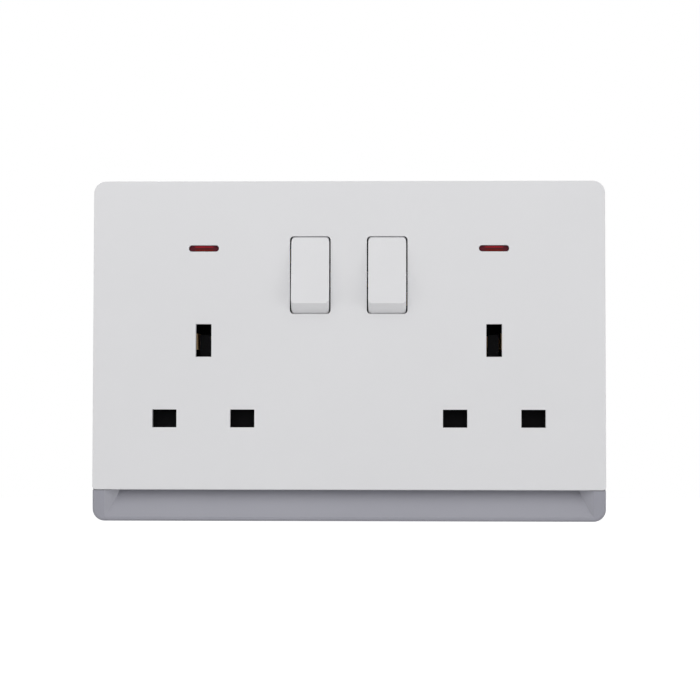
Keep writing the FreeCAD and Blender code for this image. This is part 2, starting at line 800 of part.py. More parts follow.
def make_terminals():
    """Brass blocks with a cable bore along Z, and their clamp screws from behind."""
    screws = []
    middle_y = "terminal_y + terminal_deep / 2"
    bore_back = "%s + terminal_bore / 2" % middle_y
    for name, x, z, _ in terminal_places():
        body = block("block_" + name, around(x, "terminal_wide"),
                     ("terminal_y", "terminal_y + terminal_deep"), around(z, "terminal_high"))
        bore = rod("bore_" + name, "z", (x, middle_y), "terminal_bore",
                   around(z, "terminal_high + 2"))
        thread = facet_rod("thread_" + name, (x, z), "terminal_screw + 0.1",
                           (middle_y, "terminal_y + terminal_deep + 1"))
        keep(name, cut("whole_" + name, body, [bore, thread]))
        ends = ("%s + 0.1" % bore_back, "%s + 0.1 + terminal_screw_long" % bore_back)
        shank = facet_rod("clamp_screw_" + name, (x, z), "terminal_screw", ends)
        slot = block("clamp_slot_" + name, around(x, "terminal_screw + 1"),
                     (ends[1] + " - 0.9", ends[1] + " + 1"), around(z, "screw_slot"))
        screws.append(cut("clamp_screw_slotted_" + name, shank, [slot]))
    keep("terminal_screws", fuse("clamp_screws", screws))


def make_housing_screws():
    """Four pan-head screws in the housing's deep wells."""
    screws = []
    for name, x, z in screw_places():
        seat = "screw_split_y + screw_seat"
        shank = facet_rod("shank_" + name, (x, z), "screw_shank - 0.1",
                          (DECK_BACK + " + 1.5", seat))
        head = rod("head_" + name, "y", (x, z), "screw_head", (seat, seat + " + screw_head_thick"))
        slot = block("slot_" + name, around(x, "screw_head + 1"),
                     (seat + " + screw_head_thick / 2", seat + " + screw_head_thick + 1"),
                     around(z, "screw_slot"))
        screws.append(cut("screw_" + name, fuse("screw_solid_" + name, [shank, head]), [slot]))
    keep("housing_screws", fuse("screws_together", screws))


def make_rocker(side):
    """A rocker about its pivot: flat face, end walls on an arc round the pivot, hollow back."""
    wide = around("0", "aperture_wide - 2 * rocker_side_gap")
    face = "plate_deep - pivot_deep + rocker_rise"
    reach = "sqrt((aperture_high / 2 - rocker_end_gap) ^ 2 + (plate_deep - pivot_deep) ^ 2)"
    span = ("-(%s)" % reach, reach)
    cheeks = around("0", "aperture_wide - 2 * rocker_side_gap - 2 * rocker_cheek")
    block_out = block("rocker_block_" + side, wide, ("-(%s)" % face, "-rocker_skirt"), span)
    # Each rounded edge of the disc is three chords of a quarter circle.
    edge = [("(%s) - rocker_round * (1 - cos(%d))" % (wide[1], turn),
             "%s - rocker_round * (1 - sin(%d))" % (reach, turn)) for turn in (0, 30, 60, 90)]
    other = [("-(%s)" % across, up) for across, up in reversed(edge)]
    round_out = turned("rocker_round_" + side, [(wide[0], "0"), (wide[1], "0")] + edge + other,
                       "H_Axis")
    hub = block("rocker_hub_" + side, wide, ("-(%s)" % face, "trunnion"),
                ("-rocker_hub", "rocker_hub"))
    outside = fuse("rocker_outside_" + side,
                   [common("rocker_cap_" + side, [block_out, round_out]), hub])
    back = ("rocker_wall - (%s)" % face, "trunnion + 1")
    block_in = block("rocker_hollow_" + side, cheeks, back, span)
    round_in = rod("rocker_hollow_round_" + side, "x", ("0", "0"),
                   "2 * (%s - rocker_wall)" % reach, cheeks)
    shell = cut("rocker_shell_" + side, outside,
                [common("rocker_inside_" + side, [block_in, round_in])])
    barrel = rod("rocker_barrel_" + side, "y", ("0", "0"), "barrel",
                 ("rocker_wall / 2 - (%s)" % face, "barrel_reach"))
    pieces = [shell, barrel]
    stub = "aperture_wide / 2 + deck_slot_margin + bearing_wall - rocker_side_gap"
    for hand, sign in (("inner", "-1"), ("outer", "1")):
        ends = sorted(("(%s) * (%s)" % (sign, stub), "(%s) * (%s)" % (sign, cheeks[1])), key=value)
        pieces.append(rod("trunnion_%s_%s" % (hand, side), "x", ("0", "0"), "trunnion", ends))
    bore = rod("rocker_bore_" + side, "y", ("0", "0"), "barrel_bore",
               ("rocker_wall - (%s)" % face, "barrel_reach + 1"))
    rocker = cut("rocker_whole_" + side, fuse("rocker_solid_" + side, pieces), [bore])
    keep("rocker_" + side, rocker)
    place(rocker, switch_x(side), "-pivot_deep", "rocker_z", "-rocker_tilt")


def make_plunger(side):
    """A round-nosed pin that a spring pushes out of the rocker's barrel."""
    # The nose is a cone with a shallow point, the two together close to a half ball.
    plunger = turned("plunger_whole_" + side, [
        ("0", "plunger_seat"), ("plunger / 2", "plunger_seat"),
        ("plunger / 2", "plunger_reach - 0.38 * plunger"),
        ("0.34 * plunger", "plunger_reach - 0.12 * plunger"), ("0", "plunger_reach"),
    ])
    keep("plunger_" + side, plunger)
    place(plunger, switch_x(side), "-pivot_deep", "rocker_z", "-rocker_tilt")
    # The spring's own axis is Z, so it leans a quarter turn more to lie in the barrel.
    blind = "plate_deep - pivot_deep + rocker_rise - rocker_wall"
    length = "(%s) + plunger_seat - 0.1" % blind
    spring = coil("plunger_spring_coil_" + side, "barrel_bore - 0.4", "plunger_wire", 5, length)
    keep("plunger_spring_" + side, spring)
    tilt = "rocker_tilt"
    start = "(%s) - 0.05" % blind
    place(
        spring, switch_x(side),
        "-pivot_deep - (%s) * cos(%s)" % (start, tilt),
        "rocker_z + (%s) * sin(%s)" % (start, tilt),
        "-90 - rocker_tilt",
    )


def make_seesaw(side):
    """The moving contact: a strip that tips on its knife edge, with a silver tip above."""
    front, back = "-(seesaw_lift + seesaw_thick)", "-seesaw_lift"
    strip = pad("seesaw_strip_" + side, "x", [
        (front, "-seesaw_half"), (back, "-seesaw_half"),
        (back, "seesaw_half"), (front, "seesaw_half"),
    ], around("0", "seesaw_wide"))
    keep("moving_contact_" + side, strip)
    place(strip, switch_x(side), "seesaw_y", "rocker_z", "seesaw_tilt")
    tip = turned("seesaw_tip_" + side, [
        ("0", back), ("tip_round / 2", back), ("tip_round / 2", "tip_thick / 2"),
        ("tip_round / 2 - tip_thick / 2", "tip_thick"), ("0", "tip_thick"),
    ])
    keep("moving_tip_" + side, tip)
    place(tip, switch_x(side), "seesaw_y - tip_z * sin(seesaw_tilt)",
          "rocker_z + tip_z * cos(seesaw_tilt)", "seesaw_tilt")
    # The fixed tip stands just behind where the moving one comes when it leans the other way.
    closed = "seesaw_y + tip_thick * cos(seesaw_tilt) + (tip_z + tip_round / 2) * sin(seesaw_tilt)"
    front = closed + " + tip_gap"
    fixed = turned("fixed_tip_turned_" + side, [
        ("0", front), ("tip_round / 2 - tip_thick / 2", front),
        ("tip_round / 2", front + " + tip_thick / 2"), ("tip_round / 2", STRAP), ("0", STRAP),
    ])
    keep("fixed_tip_" + side, fixed)
    place(fixed, switch_x(side), "0", "rocker_z + tip_z")


def jaw(mouth, waist, back, centre):
    """A spring jaw in section: two leaves from a base, drawn in at a waist, open at the mouth.

    Each point is a depth and a place across. The leaves bend just in front of the base.
    """
    bend = "%s - sheet - bend_back" % back
    half = [
        (back, "base_half + leaf"), (bend, "base_half + leaf"), (waist, "waist_half + leaf"),
        (mouth, "mouth_half + leaf"), (mouth, "mouth_half"), (waist, "waist_half"),
        (bend, "base_half"), ("%s - sheet" % back, "base_half"),
    ]
    outline = [(depth, "%s + %s" % (centre, across)) for depth, across in half]
    outline += [(depth, "%s - (%s)" % (centre, across)) for depth, across in reversed(half)]
    return outline


def line_x(side, hand):
    """The middle of a live or neutral aperture."""
    sign = {"neutral": "-1", "live": "1"}[hand]
    return "%s + %s * pin_pitch / 2" % (socket_x(side), sign)


def line_jaw(side, hand):
    """The jaw behind a live or neutral aperture, its leaves above and below the pin."""
    return pad("jaw_%s_%s" % (hand, side), "x",
               jaw("line_mouth_y", "line_waist_y", "line_base_y", "(%s)" % LINE_Z),
               around(line_x(side, hand), "leaf_wide"))


def strap(name, x, z):
    """A flat strip in the plane of the jaws' bases."""
    return block(name, x, (STRAP, "line_base_y"), z)


def make_live_contacts():
    """Live jaws, each with its strip up to the fixed tip of its switch."""
    tip_level = around("rocker_z + tip_z", "strip_wide")
    jaw_level = around(LINE_Z, "strip_wide")
    x, riser = line_x("left", "live"), around(LEFT_RISER, "strip_wide")
    tip_x = around(switch_x("left"), "strip_wide")
    keep("live_contact_left", fuse("live_left", [
        line_jaw("left", "live"),
        strap("live_left_foot", ("%s - leaf_wide / 2" % x, riser[1]), jaw_level),
        strap("live_left_riser", riser, (jaw_level[0], tip_level[1])),
        strap("live_left_top", (riser[0], tip_x[1]), tip_level),
    ]))
    x, riser = line_x("right", "live"), around(RIGHT_RISER, "strip_wide")
    tip_x = around(switch_x("right"), "strip_wide")
    cross = around("right_cross_z", "strip_wide")
    keep("live_contact_right", fuse("live_right", [
        line_jaw("right", "live"),
        strap("live_right_foot", (riser[0], "%s + leaf_wide / 2" % x), jaw_level),
        strap("live_right_riser", riser, (jaw_level[0], cross[1])),
        strap("live_right_cross", (tip_x[0], riser[1]), cross),
        strap("live_right_top", tip_x, (cross[0], tip_level[1])),
    ]))


def make_live_bar():
    """The bar that feeds both switches: a knife edge under each see-saw and a terminal tab."""
    front = "live_bar_y - sheet"
    bar = block("live_bar_flat", around("0", "switch_pitch + seesaw_wide"),
                (front, "live_bar_y"), around("rocker_z", "live_bar_high"))
    rise = "live_terminal_z - terminal_high / 2 + sheet"
    tab = pad("live_bar_tab", "x", [
        (front, "rocker_z"), ("live_bar_y", "rocker_z"), ("live_bar_y", rise),
        ("terminal_y", rise), ("terminal_y", "live_terminal_z + terminal_high / 2"),
        ("terminal_y - sheet", "live_terminal_z + terminal_high / 2"),
        ("terminal_y - sheet", rise + " + sheet"), (front, rise + " + sheet"),
    ], around("0", "terminal_wide - 1"))
    pieces = [bar, tab]
    for side in SIDES:
        pieces.append(pad("knife_edge_" + side, "x", [
            ("seesaw_y", "rocker_z"), (front, "rocker_z + sheet"), (front, "rocker_z - sheet"),
        ], around(switch_x(side), "seesaw_wide")))
    keep("live_bar", fuse("live_bar_whole", pieces))


def make_neutral_contact():
    """Both neutral jaws on one bar, with a tab bent back onto the terminal."""
    ends = ("%s - leaf_wide / 2" % line_x("left", "neutral"),
            "%s + leaf_wide / 2" % line_x("right", "neutral"))
    level = around("neutral_bar_z", "neutral_bar_high")
    pieces = [strap("neutral_bar", ends, level)]
    for side in SIDES:
        pieces.append(line_jaw(side, "neutral"))
        pieces.append(strap("neutral_riser_" + side,
                            around(line_x(side, "neutral"), "leaf_wide"), (level[0], LINE_Z)))
    top = level[1]
    tab_top = "low_terminal_z + terminal_high / 2"
    pieces.append(pad("neutral_tab", "x", [
        (STRAP, top + " - sheet"), ("terminal_y", top + " - sheet"), ("terminal_y", tab_top),
        ("terminal_y - sheet", tab_top), ("terminal_y - sheet", top), (STRAP, top),
    ], around("0", "terminal_wide - 1")))
    keep("neutral_contact", fuse("neutral_whole", pieces))


def make_earth_contacts():
    """Earth jaws, their leaves beside the pin, on one bar that drops to two terminals."""
    bar_y = ("earth_base_y", "earth_base_y + sheet")
    level = around("earth_bar_z", "strip_wide")
    pieces = [block("earth_bar_cross", around("0", "2 * %s + leaf_wide" % SOCKET), bar_y, level)]
    for side, sign in SIDES.items():
        outline = jaw("earth_mouth_y", "earth_waist_y", "earth_base_y", socket_x(side))
        keep("earth_jaw_" + side, pad("earth_jaw_pad_" + side, "z",
                                      [(across, depth) for depth, across in outline],
                                      around("earth_z", "earth_leaf_wide")))
        pieces.append(block("earth_riser_" + side, around(socket_x(side), "strip_wide"), bar_y,
                            (level[0], "earth_z + earth_leaf_wide / 2")))
        pieces.append(block("earth_drop_" + side,
                            around("%s * (earth_terminal_x - earth_drop_in)" % sign,
                                   "earth_drop_wide"), bar_y,
                            ("low_terminal_z + terminal_high / 2", level[1])))
    keep("earth_bar", fuse("earth_bar_whole", pieces))


def make_shutter(side):
    """A spring-loaded blind over the live and neutral apertures, with the earth pin's ramp."""
    middle = socket_x(side)
    front = "%s + shutter_gap" % DECK_BACK
    back = "%s + shutter_thick" % front
    slot_top = "%s + spring_top" % LINE_Z
    blind = block("shutter_blind_" + side, around(middle, "shutter_wide"), (front, back),
                  around(LINE_Z, "shutter_high"))
    slot = block("shutter_slot_" + side, around(middle, "spring_slot"), (front + " - 1", back + " + 1"),
                 ("%s - shutter_high" % LINE_Z, slot_top))
    low = "earth_z - earth_slot_high / 2 + 0.3"
    arm = block("shutter_arm_" + side, around(middle, "shutter_arm"), (front, back),
                (slot_top, low + " - 1"))
    top = "%s + shutter_travel" % low
    ramp = pad("shutter_ramp_" + side, "x", [
        (front, low + " - 2"), (front, top), (front + " + leaf", top),
        (front + " + shutter_travel", low + " + leaf"), (front + " + shutter_travel", low),
        (back, low + " - 2"),
    ], around(middle, "wedge_wide"))
    keep("shutter_" + side, fuse("shutter_whole_" + side,
                                 [cut("shutter_slotted_" + side, blind, [slot]), arm, ramp]))
    spring = coil("shutter_spring_coil_" + side, "spring_round", "spring_wire", 6,
                  "%s - (spring_foot) - 0.1" % slot_top)
    keep("shutter_spring_" + side, spring)
    place(spring, middle, "%s + spring_round / 2" % front, "spring_foot + 0.05")


def make_neon(side):
    """A neon indicator: a lens with a flange, a glass lamp with its leads, and a resistor."""
    middle = socket_x(side)
    nose = plate("lens_nose_" + side, around(middle, "neon_slot_wide - 2 * lens_gap"),
                 ("lens_sunk - plate_deep", DECK_BACK),
                 around("neon_z", "neon_slot_high - 2 * lens_gap"),
                 "neon_slot_round - lens_gap")
    flange = block("lens_flange_" + side, around(middle, "lens_flange_wide"),
                   (DECK_BACK, DECK_BACK + " + lens_flange"), around("neon_z", "lens_flange_high"))
    keep("neon_lens_" + side, fuse("lens_whole_" + side, [nose, flange]))
    waist = "(lamp_long / 2 - 0.3 * lamp_round)"
    glass = turned("lamp_glass_" + side, [
        ("-lamp_long / 2", "0"), ("-lamp_long / 2", "0.22 * lamp_round"),
        ("-" + waist, "lamp_round / 2"), (waist, "lamp_round / 2"),
        ("lamp_long / 2", "0.22 * lamp_round"), ("lamp_long / 2", "0"),
    ], "H_Axis")
    place(glass, middle, "lamp_y", "neon_z")
    left_end = ("%s - lamp_long / 2 + lead" % middle, "lamp_y", "neon_z")
    right_end = ("%s + lamp_long / 2 - lead" % middle, "lamp_y", "neon_z")
    joint_z = "resistor_z + resistor_long / 2 + 6"
    if side == "left":
        drop_x = "%s - outer_lead" % middle
        live = lead("lamp_live_left", [
            right_end, (LEFT_RISER, "lamp_y", "neon_z"), (LEFT_RISER, STRAP, "neon_z")])
        other = lead("lamp_other_left", [
            left_end, (drop_x, "lamp_y", "neon_z"), (drop_x, "lamp_y", joint_z)])
    else:
        drop_x = "%s - inner_lead" % middle
        live = lead("lamp_live_right", [
            right_end, (RIGHT_RISER, "lamp_y", "neon_z"),
            (RIGHT_RISER, "lamp_y", "right_cross_z"),
            (RIGHT_RISER, STRAP, "right_cross_z")])
        other = lead("lamp_other_right", [
            left_end, (drop_x, "lamp_y", "neon_z"), (drop_x, "lamp_y", joint_z)])
    keep("neon_lamp_" + side, fuse("lamp_whole_" + side, [glass, live, other]))
    body = rod("resistor_body_" + side, "z", (drop_x, "lamp_y"), "resistor_round",
               around("resistor_z", "resistor_long"))
    upper = lead("resistor_up_" + side, [
        (drop_x, "lamp_y", "resistor_z"), (drop_x, "lamp_y", joint_z)])
    knee = "%s + base_half + leaf + 2 * lead_bend + 0.4" % LINE_Z
    lower = lead("resistor_down_" + side, [
        (drop_x, "lamp_y", "resistor_z"), (drop_x, "lamp_y", knee),
        (drop_x, "line_base_y - sheet / 2", knee),
        (drop_x, "line_base_y - sheet / 2", "%s + base_half + leaf" % LINE_Z)])
    keep("neon_resistor_" + side, fuse("resistor_whole_" + side, [body, upper, lower]))


def check_document():
    """Stop if any object failed or any sub-part isn't a sound solid."""
    doc.recompute()
    for thing in doc.Objects:
        if "Invalid" in thing.State or "Error" in thing.State:
            raise RuntimeError("%s (%s) did not build: %s" % (thing.Name, thing.Label, thing.State))
    for piece in nodes:
        if piece.Shape.isNull() or not piece.Shape.isValid() or not piece.Shape.Solids:
            raise RuntimeError("%s is not a sound solid" % piece.Label)


def write_parts():
    """Write each sub-part to its own file."""
    os.makedirs("parts", exist_ok=True)
    for piece in nodes:
        piece.Shape.exportStep("parts/%s.step" % piece.Label)
        box = piece.Shape.BoundBox
        print("%-22s %2d solid  %9.1f mm3  X %7.2f %7.2f  Y %7.2f %7.2f  Z %7.2f %7.2f" % (
            piece.Label, len(piece.Shape.Solids), piece.Shape.Volume,
            box.XMin, box.XMax, box.YMin, box.YMax, box.ZMin, box.ZMax))


fill_sheet()
make_front_cover()
make_base_frame()
make_rear_housing()
make_housing_screws()
make_terminals()
make_live_bar()
make_live_contacts()
make_neutral_contact()
make_earth_contacts()
for side in SIDES:
    make_rocker(side)
    make_plunger(side)
    make_seesaw(side)
    make_shutter(side)
    make_neon(side)
check_document()
write_parts()
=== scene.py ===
# %% [markdown]
# # A twin switched wall socket
#
# The object is a white clip-on cover over a grey frame, with two outlets for flat three-pin plugs,
# two rockers and two small red indicators. The solids come packed from the CAD step, so this lesson
# starts by loading them. What is left to do is finish them: surfaces, the few pieces that want finer
# shapes than the solids have, light, and a camera where the photographer stood.

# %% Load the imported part
import json
import math

import bpy
import numpy as np
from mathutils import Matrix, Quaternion, Vector


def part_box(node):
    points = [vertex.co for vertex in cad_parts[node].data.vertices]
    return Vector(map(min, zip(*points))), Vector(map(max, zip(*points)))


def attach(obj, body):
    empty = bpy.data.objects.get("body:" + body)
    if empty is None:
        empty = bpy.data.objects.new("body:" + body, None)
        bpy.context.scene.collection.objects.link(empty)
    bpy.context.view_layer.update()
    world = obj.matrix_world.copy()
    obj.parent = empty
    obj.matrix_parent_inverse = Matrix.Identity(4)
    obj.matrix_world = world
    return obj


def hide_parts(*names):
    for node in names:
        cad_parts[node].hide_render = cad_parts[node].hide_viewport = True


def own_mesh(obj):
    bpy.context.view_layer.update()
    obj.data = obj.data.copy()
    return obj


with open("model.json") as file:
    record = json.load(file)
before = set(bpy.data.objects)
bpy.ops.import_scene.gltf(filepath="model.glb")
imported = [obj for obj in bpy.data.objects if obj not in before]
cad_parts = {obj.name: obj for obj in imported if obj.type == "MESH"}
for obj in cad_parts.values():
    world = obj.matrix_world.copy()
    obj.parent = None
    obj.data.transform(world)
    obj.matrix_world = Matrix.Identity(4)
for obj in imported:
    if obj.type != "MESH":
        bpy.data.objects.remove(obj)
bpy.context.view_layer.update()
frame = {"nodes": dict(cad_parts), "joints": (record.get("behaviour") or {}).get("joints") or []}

nodes = frame["nodes"]

# %% [markdown]
# ## How a finish is built
#
# Real plastic is never one flat colour. A moulding has a slow drift of tone across it, from the way
# the melt cooled, and a fine grain that breaks up the gloss. Metal has the same two scales, with
# rolling or turning marks as its grain. One helper therefore lays a slow noise under the colour and
# a fast noise under the bump and roughness. It reads Object coordinates, so the pattern stays put
# when a rocker tilts.

# %% A helper for surfaces with two scales of noise
gloss_spread = 0.06
grain_depth = 0.0002


def surface(name, dark, light, rough, metal=0.0, drift=18.0, grain=2600.0, relief=0.04, stretch=(1, 1, 1),
            shine=0.5):
    """A Principled surface: slow noise mixes two tones, fast noise gives the bump and the roughness."""
    made = bpy.data.materials.new(name)
    made.use_nodes = True
    tree = made.node_tree
    shader = tree.nodes["Principled BSDF"]
    shader.inputs["Metallic"].default_value = metal
    shader.inputs["Specular IOR Level"].default_value = shine
    where = tree.nodes.new("ShaderNodeTexCoord")
    scale = tree.nodes.new("ShaderNodeMapping")
    scale.inputs["Scale"].default_value = stretch
    tree.links.new(where.outputs["Object"], scale.inputs["Vector"])
    slow = tree.nodes.new("ShaderNodeTexNoise")
    slow.inputs["Scale"].default_value = drift
    slow.inputs["Detail"].default_value = 3.0
    tree.links.new(scale.outputs["Vector"], slow.inputs["Vector"])
    tones = tree.nodes.new("ShaderNodeValToRGB")
    tones.color_ramp.elements[0].position = 0.3
    tones.color_ramp.elements[0].color = (*dark, 1)
    tones.color_ramp.elements[1].position = 0.7
    tones.color_ramp.elements[1].color = (*light, 1)
    tree.links.new(slow.outputs["Fac"], tones.inputs["Fac"])
    tree.links.new(tones.outputs["Color"], shader.inputs["Base Color"])
    fast = tree.nodes.new("ShaderNodeTexNoise")
    fast.inputs["Scale"].default_value = grain
    fast.inputs["Detail"].default_value = 2.0
    tree.links.new(scale.outputs["Vector"], fast.inputs["Vector"])
    gloss = tree.nodes.new("ShaderNodeMapRange")
    gloss.inputs["To Min"].default_value = rough - gloss_spread
    gloss.inputs["To Max"].default_value = rough + gloss_spread
    tree.links.new(fast.outputs["Fac"], gloss.inputs["Value"])
    tree.links.new(gloss.outputs["Result"], shader.inputs["Roughness"])
    bump = tree.nodes.new("ShaderNodeBump")
    bump.inputs["Strength"].default_value = relief
    bump.inputs["Distance"].default_value = grain_depth
    tree.links.new(fast.outputs["Fac"], bump.inputs["Height"])
    tree.links.new(bump.outputs["Normal"], shader.inputs["Normal"])
    return made


# %% [markdown]
# ## White mouldings
#
# Cover and rockers are pressed in the same white, smooth with a low gloss. Measured against the
# photograph, the white is a cool grey of about 0.74 in linear light, and the rockers read the same.

# %% White cover and rockers
cover_white = surface("cover_white", (0.728, 0.728, 0.743), (0.744, 0.744, 0.759), 0.42, shine=0.35)
rocker_white = surface("rocker_white", (0.728, 0.728, 0.743), (0.742, 0.742, 0.757), 0.46,
                       drift=60.0, shine=0.35)
print("white", cover_white.name, rocker_white.name)

# %% [markdown]
# ## Grey frame, and dark inner mouldings with painted shade
#
# The frame is a mid grey with a faint blue in it. What lies behind the pin apertures is in deep
# shade and reads nearly black, so the shutters and the housing behind them are coloured nearly
# black, which paints that shade into them.

# %% Grey frame, and black shutters and dark housing as painted shade
frame_grey = surface("frame_grey", (0.304, 0.304, 0.347), (0.320, 0.320, 0.363), 0.40)
# Painted shade: the shutters and the housing are made near black to stand for the shade inside the pin
# apertures.
shutter_black = surface("shutter_black", (0.0035, 0.0035, 0.0042), (0.0050, 0.0050, 0.0058), 0.62,
                        shine=0.08)
housing_dark = surface("housing_dark", (0.016, 0.016, 0.018), (0.024, 0.024, 0.027), 0.55, grain=1400.0,
                       relief=0.10, shine=0.35)
print("dark", frame_grey.name, shutter_black.name, housing_dark.name)

# %% [markdown]
# ## Metals
#
# Contacts are stamped from rolled brass, terminal blocks are turned and milled from bar, and the
# moving strips are copper with silver tips. Rolling leaves its marks along one way, so the noise is
# stretched across it.

# %% Brass, copper, silver and steel
brass_sheet = surface("brass_sheet", (0.70, 0.47, 0.24), (0.82, 0.58, 0.32), 0.50, metal=0.80,
                      stretch=(1, 1, 6))
brass_block = surface("brass_block", (0.60, 0.45, 0.21), (0.70, 0.54, 0.29), 0.28, metal=1.0,
                      stretch=(6, 1, 1))
copper_strip = surface("copper_strip", (0.64, 0.34, 0.22), (0.76, 0.44, 0.31), 0.30, metal=1.0,
                       stretch=(1, 1, 6))
silver_tip = surface("silver_tip", (0.72, 0.71, 0.68), (0.82, 0.81, 0.78), 0.25, metal=1.0)
spring_steel = surface("spring_steel", (0.46, 0.46, 0.47), (0.60, 0.60, 0.61), 0.30, metal=1.0)
plunger_steel = surface("plunger_steel", (0.56, 0.56, 0.57), (0.66, 0.66, 0.67), 0.22, metal=1.0)
zinc_screw = surface("zinc_screw", (0.58, 0.57, 0.50), (0.70, 0.69, 0.62), 0.35, metal=1.0)
print("sheet and block", brass_sheet.name, brass_block.name, copper_strip.name, silver_tip.name)
print("steel", spring_steel.name, plunger_steel.name, zinc_screw.name)

# %% [markdown]
# ## The red indicator windows
#
# Each window is a bar of red tinted clear plastic. With no lamp lit it looks dark red, and the lamp
# behind it catches light and shows as two brighter stripes with a dark line between them, which fade
# out before the ends. That lit lamp is painted light here: the colour comes from the place in the
# window, a ramp of painted bright stripes upwards, mixed into a darker red by the distance from the
# middle across. The lengths below are in metres: half the height of the lens's nose, and how far
# from its middle the painted stripes start to fade and are gone.

# %% Red lens, and where its painted stripes of light lie
red_lens = surface("red_lens", (0.82, 0.82, 0.82), (1.0, 1.0, 1.0), 0.42, drift=420.0, shine=0.06)
dye = red_lens.node_tree
lens_low, lens_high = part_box("neon_lens_right")
lens_x = (lens_low[0] + lens_high[0]) / 2
lens_z = (lens_low[2] + lens_high[2]) / 2
half_window = 0.00077
stripes_fade, stripes_end = 0.0020, 0.0031
end_red = (0.105, 0.016, 0.025)
# Painted light: the lit lamp behind the window, as brighter red stripes, the upper one brightest.
stripes = (
    (0.00, (0.120, 0.014, 0.010)), (0.20, (0.190, 0.013, 0.008)), (0.42, (0.085, 0.015, 0.018)),
    (0.56, (0.090, 0.015, 0.019)), (0.76, (0.370, 0.018, 0.028)), (1.00, (0.260, 0.019, 0.032)),
)
print("window middle", round(lens_x, 4), round(lens_z, 4), "stripes", len(stripes))

# %% [markdown]
# A place in the window is two numbers: how far up, from 0 to 1, and how far from the middle across.
# Shader nodes work them out from the Object coordinates, one sum at a time, so two small helpers
# make a sum and a soft step. The distance from the socket's centre is taken without its sign, so
# that one set of sums serves the left and the right window.


# %% Sums and soft steps made of shader nodes
def reckon(tree, step, source, amount=0.0):
    """One sum on a socket's value, with a constant as the second term."""
    node = tree.nodes.new("ShaderNodeMath")
    node.operation = step
    node.inputs[1].default_value = amount
    tree.links.new(source, node.inputs[0])
    return node.outputs["Value"]


def between(tree, source, low, high):
    """Where a value lies between two others, from 0 to 1, with soft ends."""
    node = tree.nodes.new("ShaderNodeMapRange")
    node.interpolation_type = "SMOOTHSTEP"
    node.inputs["From Min"].default_value = low
    node.inputs["From Max"].default_value = high
    tree.links.new(source, node.inputs["Value"])
    return node.outputs["Result"]


spot = dye.nodes.new("ShaderNodeSeparateXYZ")
dye.links.new(dye.nodes["Texture Coordinate"].outputs["Object"], spot.inputs["Vector"])
from_centre = reckon(dye, "ABSOLUTE", spot.outputs["X"])
off_middle = reckon(dye, "ABSOLUTE", reckon(dye, "SUBTRACT", from_centre, lens_x))
height = reckon(dye, "MULTIPLY_ADD", reckon(dye, "SUBTRACT", spot.outputs["Z"], lens_z), 0.5 / half_window)
height.node.inputs[2].default_value = 0.5
print("shader nodes so far", len(dye.nodes))

# %% [markdown]
# The painted stripes of light are a colour ramp over the height. The ramp gives way to the darker
# red towards the window's ends, and the slow noise clouds both a little, as in any tinted moulding.

# %% Paint the lamp's light stripes into the lens
# This ramp carries the painted light of the lamp behind the window.
lamp_light_ramp = dye.nodes.new("ShaderNodeValToRGB")
lamp_light_ramp.color_ramp.elements[0].position = stripes[0][0]
lamp_light_ramp.color_ramp.elements[0].color = (*stripes[0][1], 1)
lamp_light_ramp.color_ramp.elements[1].position = stripes[-1][0]
lamp_light_ramp.color_ramp.elements[1].color = (*stripes[-1][1], 1)
for level, tone in stripes[1:-1]:
    lamp_light_ramp.color_ramp.elements.new(level).color = (*tone, 1)
dye.links.new(height, lamp_light_ramp.inputs["Fac"])
ends = dye.nodes.new("ShaderNodeMixRGB")
ends.inputs["Color2"].default_value = (*end_red, 1)
dye.links.new(between(dye, off_middle, stripes_fade, stripes_end), ends.inputs["Fac"])
dye.links.new(lamp_light_ramp.outputs["Color"], ends.inputs["Color1"])
clouded = dye.nodes.new("ShaderNodeMixRGB")
clouded.blend_type = "MULTIPLY"
clouded.inputs["Fac"].default_value = 1.0
dye.links.new(ends.outputs["Color"], clouded.inputs["Color1"])
dye.links.new(dye.nodes["Color Ramp"].outputs["Color"], clouded.inputs["Color2"])
dye.links.new(clouded.outputs["Color"], dye.nodes["Principled BSDF"].inputs["Base Color"])
print("lens", red_lens.name, "with", len(dye.nodes), "shader nodes")

# %% [markdown]
# ## Lamp glass and resistor lacquer
#
# Behind each window lies a tiny glass lamp on two wires, with a resistor in one of them. The glass
# lets most of the light through. The resistor is dipped in a tan lacquer, which hides its core.

# %% Lamp glass and resistor lacquer
lamp_glass = surface("lamp_glass", (0.80, 0.76, 0.70), (0.88, 0.84, 0.80), 0.08)
resistor_lacquer = surface("resistor_lacquer", (0.56, 0.44, 0.29), (0.66, 0.53, 0.37), 0.40)
lamp_glass.node_tree.nodes["Principled BSDF"].inputs["Transmission Weight"].default_value = 0.85
print("small", lamp_glass.name, resistor_lacquer.name)

# %% [markdown]
# ## Dressing the solids
#
# Each solid keeps its mesh and place, and only its material slots change. The table below names the
# finish of every family of nodes by the start of its name, so both sides of the socket share a line.
# The first line that fits is taken, so a longer start stands above a shorter one.

# %% Give every node its finish
finishes = {
    "front_cover": cover_white,
    "rocker_": rocker_white,
    "base_frame": frame_grey,
    "rear_housing": housing_dark,
    "shutter_spring": spring_steel,
    "shutter_": shutter_black,
    "neon_lens": red_lens,
    "neon_lamp": lamp_glass,
    "neon_resistor": resistor_lacquer,
    "moving_tip": silver_tip,
    "fixed_tip": silver_tip,
    "moving_contact": copper_strip,
    "plunger_spring": spring_steel,
    "plunger_": plunger_steel,
    "housing_screws": zinc_screw,
    "terminal_screws": zinc_screw,
    "live_terminal": brass_block,
    "neutral_terminal": brass_block,
    "earth_terminal": brass_block,
    "live_": brass_sheet,
    "neutral_": brass_sheet,
    "earth_": brass_sheet,
}
for name, piece in nodes.items():
    start = next(key for key in finishes if name.startswith(key))
    for place in piece.material_slots:
        place.material = finishes[start]
print("dressed", len(nodes), "nodes")
